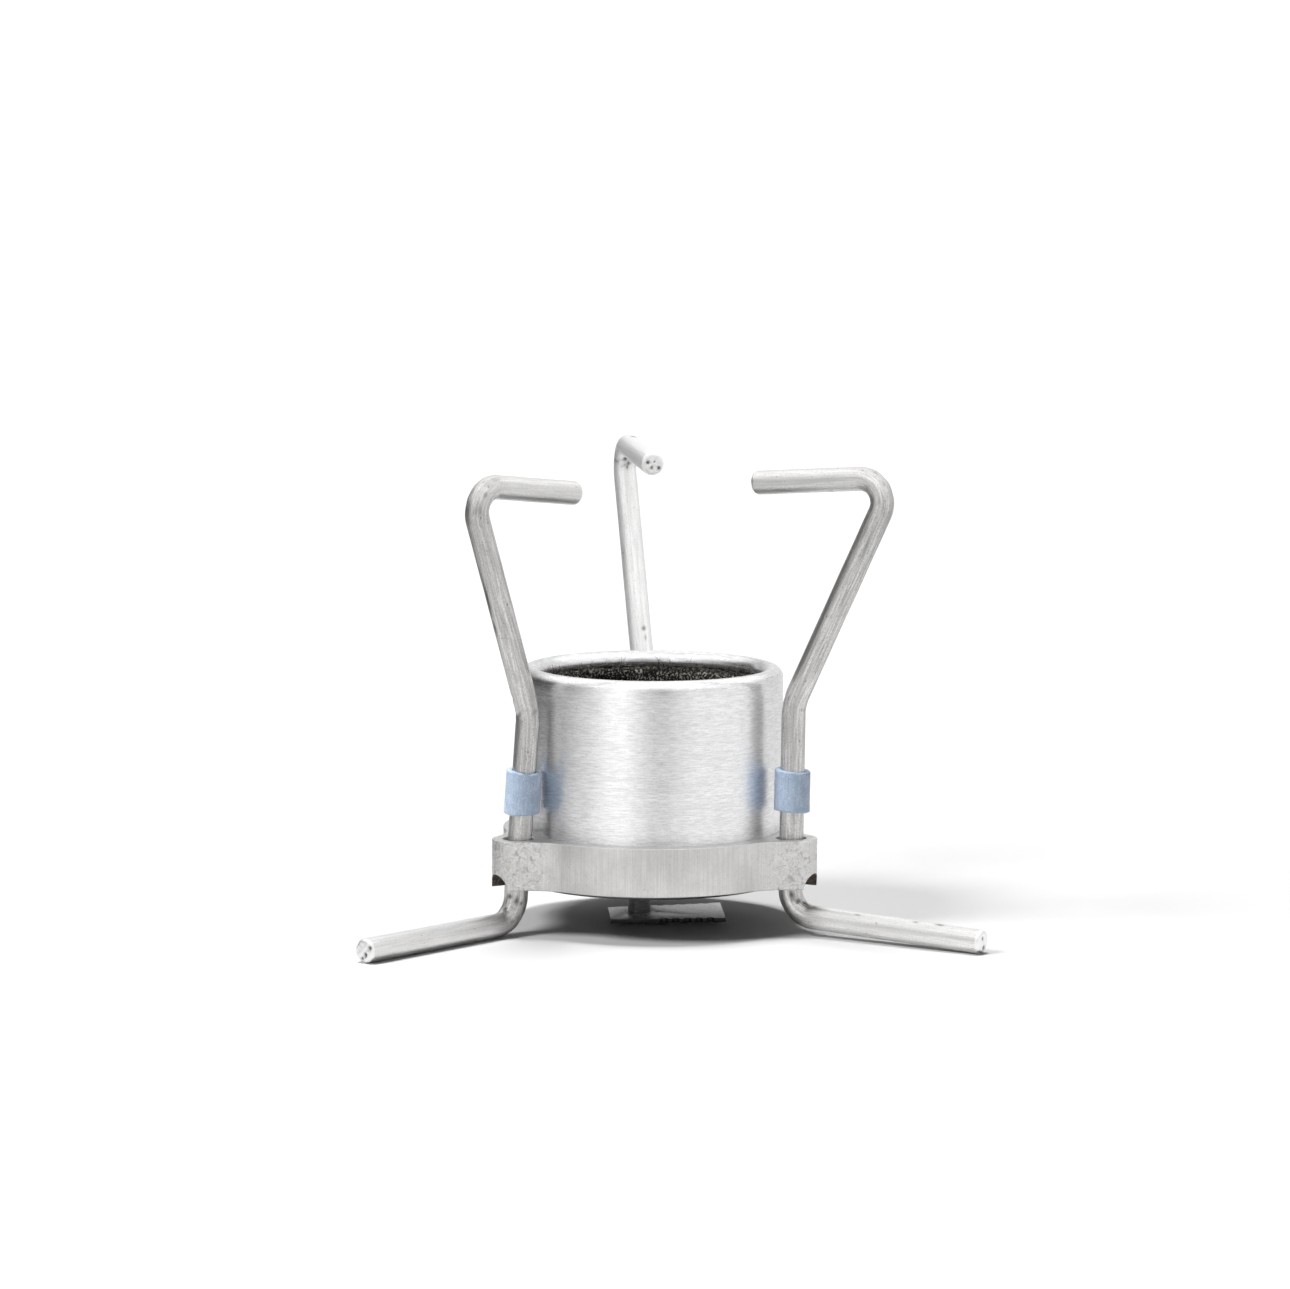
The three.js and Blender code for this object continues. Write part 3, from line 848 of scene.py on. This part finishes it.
def sleeve_mesh(start, length, seed):
    """A length of tubing cut by hand: its ends slope a little and its bore grips the rod."""
    around_count, rings = 72, 28
    inner = ROD_RADIUS + 0.02
    edge = 0.12
    bottom = [(inner, edge), (inner + edge, 0), (SLEEVE_OUTER - edge, 0), (SLEEVE_OUTER, edge)]
    side = [(SLEEVE_OUTER, edge + (length - 2 * edge) * ring / rings) for ring in range(1, rings)]
    top = [(radius, length - height) for radius, height in reversed(bottom)]
    mesh = turned_mesh("sleeve", bottom + side + top, around_count, closed=True)
    draw = random.Random(seed + 40)
    lean_low, lean_high = draw.uniform(0, 360), draw.uniform(0, 360)

    def tilt(heading, towards):
        return 1 + math.cos(math.radians(heading - towards))

    for vertex in mesh.vertices:
        spot = vertex.co
        share = min(max(spot.z / length, 0), 1)
        heading = math.degrees(math.atan2(spot.y, spot.x))
        wave = noise.noise(Vector((spot.x * 0.55 + 3 * seed, spot.y * 0.55, share * 9)))
        slope_low = (0.14 * tilt(heading, lean_low) + 0.12 * (1 + wave)) * (1 - share) ** 3
        slope_high = -(0.16 * tilt(heading, lean_high) + 0.22 * (1 + wave)) * share ** 3
        lumpy = noise.noise(Vector((spot.x * 0.7 + seed, spot.y * 0.7, spot.z * 0.5)))
        reach = Vector((spot.x, spot.y, 0))
        if reach.length > inner + 0.3:
            reach *= 1 - 0.012 * (1 + lumpy)
        vertex.co = Vector((reach.x, reach.y, start + spot.z + slope_low + slope_high))
    return mesh


# ---- the plate, the cup and the wick ----

def plate_loops():
    """The plate's outline about the cup's axis, and its four holes."""
    to_ring = RING_RADIUS + LOBE_FILLET
    to_lobe = LOBE_RADIUS + LOBE_FILLET
    spread = math.acos((to_ring ** 2 + LOBE_CIRCLE ** 2 - to_lobe ** 2) / (2 * to_ring * LOBE_CIRCLE))
    apex = math.acos((to_ring ** 2 + to_lobe ** 2 - LOBE_CIRCLE ** 2) / (2 * to_ring * to_lobe))
    sweep = spread + apex
    lobes = sorted(math.radians(angle) for angle in LOBE_ANGLES.values())
    outline = []
    for i, lobe in enumerate(lobes):
        following = lobes[i + 1] if i + 1 < len(lobes) else lobes[0] + 2 * math.pi
        before, after = lobe - spread, lobe + spread
        fillet_in = (to_ring * math.cos(before), to_ring * math.sin(before))
        fillet_out = (to_ring * math.cos(after), to_ring * math.sin(after))
        end = (LOBE_CIRCLE * math.cos(lobe), LOBE_CIRCLE * math.sin(lobe))
        outline += arc_run(fillet_in, LOBE_FILLET, before + math.pi, before + math.pi - apex)
        outline += arc_run(end, LOBE_RADIUS, lobe - sweep, lobe + sweep)
        outline += arc_run(fillet_out, LOBE_FILLET, after + math.pi + apex, after + math.pi)
        outline += arc_run((0, 0), RING_RADIUS, after, following - spread, 0.3)
    holes = [circle((0, 0), CUP_RADIUS + CONTACT, 256)]
    for angle in LOBE_ANGLES.values():
        holes.append(circle(around(LOBE_CIRCLE, angle)[:2], BORE_RADIUS, 64))
    return [outline] + holes


def make_plate(look, groove_mottle):
    blank = flat_mesh("plate", plate_loops(), PLATE_BOTTOM, PLATE_TOP, PLATE_EDGE)
    tools = []
    for angle in LOBE_ANGLES.values():
        start = around(LOBE_CIRCLE, angle, PLATE_BOTTOM)
        tools.append(rod_tool(GROOVE_RADIUS, LOBE_RADIUS + 2, angle, start))
    mesh = cut_mesh(blank, tools)
    for face in mesh.polygons:
        for angle in LOBE_ANGLES.values():
            along = around(1, angle)
            offset = face.center - around(LOBE_CIRCLE, angle, PLATE_BOTTOM)
            run = offset.dot(along)
            reach = (offset - along * run).length
            inside = reach < GROOVE_RADIUS * 1.01 and abs(face.normal.dot(along)) < 0.1
            if inside and run > 0 and face.center.z > PLATE_BOTTOM + 0.02:
                face.material_index = 1
    plate = finish_mesh("lobed_plate", mesh, CUP_AXIS, 30)
    dress(plate, [look, groove_mottle], "burner", "base_plate")


def cup_profile():
    inside = CUP_RADIUS - CUP_WALL
    lip = (CUP_RADIUS - LIP_RADIUS, CUP_TOP - LIP_RADIUS)
    floor_top = CUP_BOTTOM + 1
    corner = CUP_INNER_CORNER
    profile = [(FLOOR_HOLE, CUP_BOTTOM)]
    profile += arc((CUP_RADIUS - CUP_CORNER, CUP_BOTTOM + CUP_CORNER), CUP_CORNER, -90, 0, 12)
    wall_low, wall_high = CUP_BOTTOM + CUP_CORNER, lip[1]
    profile += [(CUP_RADIUS, wall_low + (wall_high - wall_low) * k / 12) for k in range(1, 12)]
    profile += arc(lip, LIP_RADIUS, 0, 180, 28)
    tail = CUP_RADIUS - 2 * LIP_RADIUS
    tail_bottom = lip[1] - LIP_TAIL
    profile += [(tail, tail_bottom + 0.12), (tail + 0.12, tail_bottom), (tail + CUP_WALL, tail_bottom)]
    profile += arc(lip, LIP_RADIUS - CUP_WALL, 180, 0, 10)
    profile += arc((inside - corner, floor_top + corner), corner, 0, -90, 4)
    profile.append((FLOOR_HOLE, floor_top))
    return profile


def make_cup(look):
    """The drawn cup. Its floor is pressed round the spindle, a little off the cup's own axis."""
    mesh = turned_mesh("cup", cup_profile(), 240, closed=True)
    offset = (SPINDLE_AXIS - CUP_AXIS) / MM
    shrink = (SPINDLE_RADIUS + 0.05) / FLOOR_HOLE
    for vertex in mesh.vertices:
        if math.hypot(vertex.co.x, vertex.co.y) < FLOOR_HOLE + 0.01:
            vertex.co.x = vertex.co.x * shrink + offset.x
            vertex.co.y = vertex.co.y * shrink
    dress(finish_mesh("drawn_cup", mesh, CUP_AXIS, 50), [look], "burner", "burner_cup")


WICK_INSET = 0.06
WICK_SWELL = 0.25  # the felt presses against the cup's wall
WICK_THICKNESS = 2.95
FIBRE_COUNT = 2200
TOP_SHARE = 0.8  # of the fibres grow from the top edge
LONG_SHARE = 0.08  # of them are long


def make_wick(look):
    outer = node_radius("wick_felt") + WICK_SWELL
    inner = outer - WICK_THICKNESS
    bottom, top = node_span("wick_felt")
    top -= WICK_INSET
    corner = 0.8
    profile = [(inner, bottom), (outer, bottom)]
    profile += arc((outer - corner, top - corner), corner, 0, 90, 8)
    profile += arc((inner + corner, top - corner), corner, 90, 180, 8)
    steps = 60
    profile += [(inner, top - corner - (top - corner - bottom) * k / steps) for k in range(1, steps)]
    mesh = turned_mesh("wick", profile, 280, closed=True)
    for vertex in mesh.vertices:
        spot = vertex.co
        rough = noise.fractal(spot * 1.5, 1.0, 2.0, 4) + 0.6 * noise.noise(spot * 4.5)
        reach = math.hypot(spot.x, spot.y)
        shift = 0.16 * rough
        spot.x *= 1 + shift / reach if reach < outer - 0.1 else 1
        spot.y *= 1 + shift / reach if reach < outer - 0.1 else 1
        if spot.z > top - 0.5:
            spot.z += min(0.05, 0.2 * rough)
    dress(finish_mesh("felt_wick", mesh, CUP_AXIS, 80), [look], "burner", "wick_felt")
    fibres = finish_mesh("felt_fibres", fibre_mesh(inner, outer, bottom, top), CUP_AXIS, 80)
    dress(fibres, [look], "burner")


def fibre_mesh(inner, outer, bottom, top):
    """Loose fibres that stand off the felt's bore and its top edge, where some lie over the lip."""
    draw = random.Random(11)
    points, faces = [], []
    for _ in range(FIBRE_COUNT):
        heading = draw.uniform(0, 360)
        on_top = draw.random() < TOP_SHARE
        if on_top:
            root = around(draw.uniform(inner, inner + 0.4), heading, top - draw.uniform(0.05, 0.3))
        else:
            root = around(inner + 0.05, heading, top - 0.4 - (top - bottom - 1) * draw.random() ** 1.6)
        inwards = -around(1, heading)
        spin = Vector((draw.gauss(0, 1), draw.gauss(0, 1), draw.gauss(0, 0.8)))
        drift = inwards * 0.1 + Vector((0, 0, 1.6)) if on_top else inwards * 0.9
        way = (drift + spin * 0.7).normalized()
        curl = Vector((draw.gauss(0, 1), draw.gauss(0, 1), draw.gauss(0, 1))) * 0.9
        tuft = 0.8 + 1.1 * noise.noise(around(inner, heading))
        length = draw.uniform(0.5, 1.1) * tuft + (1.1 if draw.random() < LONG_SHARE else 0)
        thick = draw.uniform(0.03, 0.05)
        add_strand(points, faces, root, way, curl, length, thick, top + 1.5)
    return mesh_from("fibres", points, faces)


def add_strand(points, faces, root, way, curl, length, thick, ceiling):
    """One tapering, curling strand, kept below the ceiling."""
    steps, sides = 5, 3
    rows = []
    spot = root.copy()
    heading = way.copy()
    for step in range(steps + 1):
        side_way = heading.orthogonal().normalized()
        other = heading.cross(side_way).normalized()
        width = thick * (1 - 0.6 * step / steps)
        row = []
        for k in range(sides):
            angle = 2 * math.pi * k / sides
            row.append(len(points))
            points.append(spot + (side_way * math.cos(angle) + other * math.sin(angle)) * width)
        rows.append(row)
        heading = (heading + curl * 0.5 / steps).normalized()
        spot = spot + heading * length / steps
        spot.z = min(spot.z, ceiling)
    faces += ring_faces(rows)


# ---- the flame control ----

def port_loops():
    holes = [circle((0, 0), SPINDLE_RADIUS + CONTACT, 48)]
    for angle in (0, 120, 240):
        holes.append(circle(around(PORT_CIRCLE, angle)[:2], PORT_RADIUS, 64))
    return holes


def show(name, mesh, node, body, look, place=SPINDLE_AXIS):
    dress(finish_mesh(name, mesh, place, 30), [look], body, node)


def make_port_cap(look):
    """An upturned pan with three ports in its top and three arches that let the fuel in under it."""
    bottom, top = node_span("port_cap")
    radius = node_radius("port_cap")
    offset = (SPINDLE_AXIS - CUP_AXIS) / MM
    wall, bend = 0.7, 0.9
    profile = [(radius - wall, bottom), (radius, bottom)]
    profile += arc((radius - bend, top - bend), bend, 0, 90, 8)
    profile += [(0, top), (0, top - wall), (radius - bend, top - wall)]
    profile += arc((radius - bend, top - bend), bend - wall, 90, 0, 3)
    mesh = turned_mesh("port_cap", profile, 160, closed=True)
    weld(mesh)
    tools = []
    for loop in port_loops():
        tool = flat_mesh("port_tool", [loop], bottom, top + 1, 0.01)
        tool.transform(Matrix.Translation((offset.x, 0, 0)))
        tools.append(tool)
    for angle in (60, 180, 300):
        tools.append(rod_tool(FEED_RADIUS, 5, angle, around(radius - 3, angle, bottom)))
    show("ported_cap", cut_mesh(mesh, tools), "port_cap", "burner", look, CUP_AXIS)


def make_shutter(look):
    """A disc with ports like the cap's, lying on the cap."""
    bottom, top = node_span("shutter_disc")
    loops = [circle((0, 0), node_radius("shutter_disc"), 160)] + port_loops()
    mesh = flat_mesh("shutter", loops, bottom - SHUTTER_DROP, top, SHEET_EDGE)
    show("shutter", mesh, "shutter_disc", "flame_control", look)


def make_spindle(look):
    """The post, with a neck that is riveted over under the lever."""
    bottom, top = node_span("control_spindle")
    lever_top = node_span("control_lever")[1]
    chamfer = 0.3
    neck = [(0, bottom), (NECK_RADIUS - 0.15, bottom), (NECK_RADIUS, bottom + 0.06), (NECK_RADIUS, lever_top)]
    shank = [(SPINDLE_RADIUS, lever_top), (SPINDLE_RADIUS, top - chamfer), (SPINDLE_RADIUS - chamfer, top)]
    mesh = turned_mesh("spindle", neck + shank + [(0, top)], 64)
    show("spindle", mesh, "control_spindle", "flame_control", look)


def make_lever(look):
    """A thin thumb plate, wider at its right end, with round notches along both long edges."""
    bottom, top = node_span("control_lever")
    low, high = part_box("control_lever")
    left, right = (low.x - SPINDLE_AXIS.x) / MM, (high.x - SPINDLE_AXIS.x) / MM

    def edge_at(ends, x):
        return ends[0] + (ends[1] - ends[0]) * (x - left) / (right - left)

    notches = [right - NOTCH_START - NOTCH_PITCH * notch for notch in range(NOTCH_COUNT)]
    outline = [(left, LEVER_FRONT[0])]
    for x in reversed(notches):
        outline += arc_run((x, edge_at(LEVER_FRONT, x)), NOTCH_RADIUS, math.pi, 0)
        outline.append((x + NOTCH_RADIUS, edge_at(LEVER_FRONT, x + NOTCH_RADIUS)))
    outline += [(right, LEVER_FRONT[1]), (right, LEVER_BACK[1])]
    for x in notches:
        outline += arc_run((x, edge_at(LEVER_BACK, x)), NOTCH_RADIUS, 0, -math.pi)
        outline.append((x - NOTCH_RADIUS, edge_at(LEVER_BACK, x - NOTCH_RADIUS)))
    outline.append((left, LEVER_BACK[0]))
    loops = [outline, circle((0, 0), NECK_RADIUS + CONTACT, 48)]
    mesh = flat_mesh("lever", loops, bottom, top, SHEET_EDGE / 2)
    show("thumb_lever", mesh, "control_lever", "flame_control", look)


def make_small_parts(steel, rubber):
    """The washer under the cup, and the seal and the clip over its floor."""
    bottom, top = node_span("spindle_washer")
    loops = [circle((0, 0), WASHER_RADIUS, 96), circle((0, 0), SPINDLE_RADIUS + CONTACT, 48)]
    mesh = flat_mesh("washer", loops, bottom, top + WASHER_RISE, 0.1)
    show("washer", mesh, "spindle_washer", "burner", steel)
    bottom, top = node_span("spindle_seal")
    radius = (top - bottom) / 2
    ring = arc((SPINDLE_RADIUS + radius + 0.02, (top + bottom) / 2), radius, 0, 345, 23)
    show("seal", turned_mesh("seal", ring, 64, closed=True), "spindle_seal", "burner", rubber)
    bottom, top = node_span("spindle_clip")
    gap, turn = math.radians(CLIP_GAP), 2 * math.pi
    outline = arc_run((0, 0), CLIP_RADII[1], gap, turn - gap)
    outline += arc_run((0, 0), CLIP_RADII[0], turn - 2 * gap, 2 * gap)
    mesh = flat_mesh("clip", [outline], bottom, top, 0.06)
    show("retaining_clip", mesh, "spindle_clip", "flame_control", steel)


def make_nut(steel):
    """A hexagon whose corners a cone has rounded off above and below."""
    bottom, top = node_span("spindle_nut")
    low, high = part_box("spindle_nut")
    across = (high.x - low.x) / MM
    tall = (high.y - low.y) / MM
    flats = min(across, tall) / 2
    points = flats / math.cos(math.pi / 6)
    hexagon = turned_mesh("nut", [(0, bottom), (points, bottom), (points, top), (0, top)], 6)
    if across < tall:
        hexagon.transform(Matrix.Rotation(math.radians(30), 4, "Z"))
    rim = flats * 1.02
    cone = [(0, bottom - 1), (rim, bottom - 0.02), (points + 1, bottom + 0.5)]
    cone += [(points + 1, top - 0.5), (rim, top + 0.02), (0, top + 1)]
    bore = SPINDLE_RADIUS + CONTACT
    hole = turned_mesh("nut_hole", [(0, bottom - 2), (bore, bottom - 2), (bore, top + 2), (0, top + 2)], 48)
    mesh = cut_mesh(hexagon, [turned_mesh("nut_keeper", cone, 96)], "INTERSECT")
    show("nut", cut_mesh(mesh, [hole]), "spindle_nut", "flame_control", steel)


# ---- the stage ----

FLOOR_RADIUS = 95


def make_floor():
    rim = [(x, y, 0) for x, y in circle((0, 0), FLOOR_RADIUS, 128)]
    floor = finish_mesh("floor", mesh_from("floor", rim, [tuple(range(len(rim)))]))
    floor.data.materials.append(floor_material())


# The studio's brightness in reflections, by degrees round the stove: 0 is behind the camera, and
# 90 is to its right.
STUDIO = [(-180, 0.85), (-150, 0.35), (-125, 0.06), (-98, 0.1), (-78, 0.4), (-56, 0.68), (-44, 0.95),
          (-33, 1.3), (-22, 1.3), (-12, 0.82), (0, 0.52), (10, 0.4), (19, 0.6), (30, 0.9), (90, 0.97),
          (130, 0.72), (180, 0.85)]
CEILING = 1.35  # in reflections, well above the horizon
PIT = 0.4  # in reflections, well below it and past the floor
FILL = 0.01  # what the studio adds to matt surfaces
BACKDROP = 1.1
WHITE = (1, 1, 1, 1)


def make_world():
    """White cards round the stove with dim gaps between them, in front of a white backdrop."""
    world = bpy.data.worlds.new("studio")
    bpy.context.scene.world = world
    world.use_nodes = True
    n = Tree(world.node_tree)
    n.tree.nodes.clear()

    def glow(colour, strength):
        node = n.add("ShaderNodeBackground")
        n.feed(node.inputs["Color"], colour)
        n.feed(node.inputs["Strength"], strength)
        return node.outputs[0]

    def choose(factor, a, b):
        node = n.add("ShaderNodeMixShader")
        for socket, source in zip(node.inputs, (factor, a, b)):
            n.link(source, socket)
        return node.outputs[0]

    x, y, z = n.parts(n.add("ShaderNodeTexCoord").outputs["Generated"])
    heading = n.math("SUBTRACT", n.math("ARCTAN2", y, x), math.radians(CAMERA_AZIMUTH))
    heading = n.math("WRAP", heading, math.pi, -math.pi)
    ramp = n.add("ShaderNodeValToRGB")
    n.link(n.span(heading, -math.pi, math.pi, ease="LINEAR"), ramp.inputs["Fac"])
    stops = ramp.color_ramp.elements
    while len(stops) < len(STUDIO):
        stops.new(0.5)
    for i, (degrees, level) in enumerate(STUDIO):
        stops[i].position = (degrees + 180) / 360
        stops[i].color = (level, level, level, 1)
    above = n.span(z, 0.38, 0.62, ease="LINEAR")
    below = n.span(z, -0.4, -0.65, ease="LINEAR")
    colour = n.mix(below, n.mix(above, ramp.outputs["Color"], (CEILING,) * 3), (PIT,) * 3)
    path = n.add("ShaderNodeLightPath").outputs
    lit = choose(path["Is Diffuse Ray"], glow(colour, 1), glow(WHITE, FILL))
    seen = choose(path["Is Camera Ray"], lit, glow(WHITE, BACKDROP))
    n.link(seen, n.add("ShaderNodeOutputWorld").inputs["Surface"])


def aim(thing, target):
    way = Vector(target) - thing.location
    thing.rotation_euler = way.to_track_quat("-Z", "Y").to_euler()


def make_lamp(name, azimuth, elevation, spread, power):
    """A far, round softbox. Its azimuth is 0 behind the camera and 90 degrees to its right."""
    light = bpy.data.lights.new(name, "SUN")
    light.angle = math.radians(spread)
    light.energy = power
    lamp = linked(name, light)
    flat = math.cos(math.radians(elevation))
    lamp.visible_glossy = False  # the studio's own cards are what the metal mirrors
    lamp.location = around(flat, CAMERA_AZIMUTH + azimuth, math.sin(math.radians(elevation)))
    aim(lamp, (0, 0, 0))


def make_lights():
    make_lamp("overhead_softbox", -130, 84, 16, 3.8)
    make_lamp("left_softbox", -60, 43, 20, 3.2)


def make_camera():
    data = bpy.data.cameras.new("camera")
    data.lens = CAMERA_LENS
    data.sensor_width = SENSOR_WIDTH
    data.clip_start, data.clip_end = 0.01, 20
    camera = linked("camera", data)
    pitch = math.radians(CAMERA_PITCH)
    sideways = around(1, CAMERA_AZIMUTH + 90)
    target = CUP_AXIS + sideways * CAMERA_ASIDE * MM + Vector((0, 0, CAMERA_HEIGHT * MM))
    back = around(math.cos(pitch), CAMERA_AZIMUTH, math.sin(pitch))
    camera.location = target + back * CAMERA_DISTANCE * MM
    look = (-back).to_track_quat("-Z", "Y")
    roll = Quaternion(back, math.radians(CAMERA_ROLL))
    camera.rotation_mode = "QUATERNION"
    camera.rotation_quaternion = roll @ look
    bpy.context.scene.camera = camera


# ---- everything ----

make_camera()
make_world()
make_lights()
make_floor()
bpy.context.scene.view_settings.view_transform = "Standard"

worn_rod = rod_material("rod_aluminium", (0.46, 0.452, 0.443), (0.84, 0.835, 0.83), 1, 0.42)
# The back leg's rod is the same aluminium with less dirt, and painted light: lighter tones for the brighter
# light on that leg.
back_rod_painted_bright = rod_material("back_rod_painted_bright_aluminium", (0.84, 0.835, 0.83), (1, 0.998, 0.996), 0.3, 0.6)
silicone = silicone_material()
for index, side in enumerate(SIDES):
    make_leg(side, index + 1, back_rod_painted_bright if side == "back" else worn_rod, silicone)
make_plate(plate_material(), groove_floor_material())
make_cup(cup_material())
make_wick(felt_material())
inner_steel = steel_material("inner_steel", (0.4, 0.39, 0.38), (0.6, 0.6, 0.6), 0.36, 0.35)
spindle_steel = steel_material("spindle_steel", (0.04, 0.04, 0.04), (0.12, 0.118, 0.115), 0.32)
make_port_cap(inner_steel)
make_shutter(inner_steel)
make_spindle(spindle_steel)
make_lever(lever_material())
make_small_parts(spindle_steel, rubber_material())
make_nut(spindle_steel)
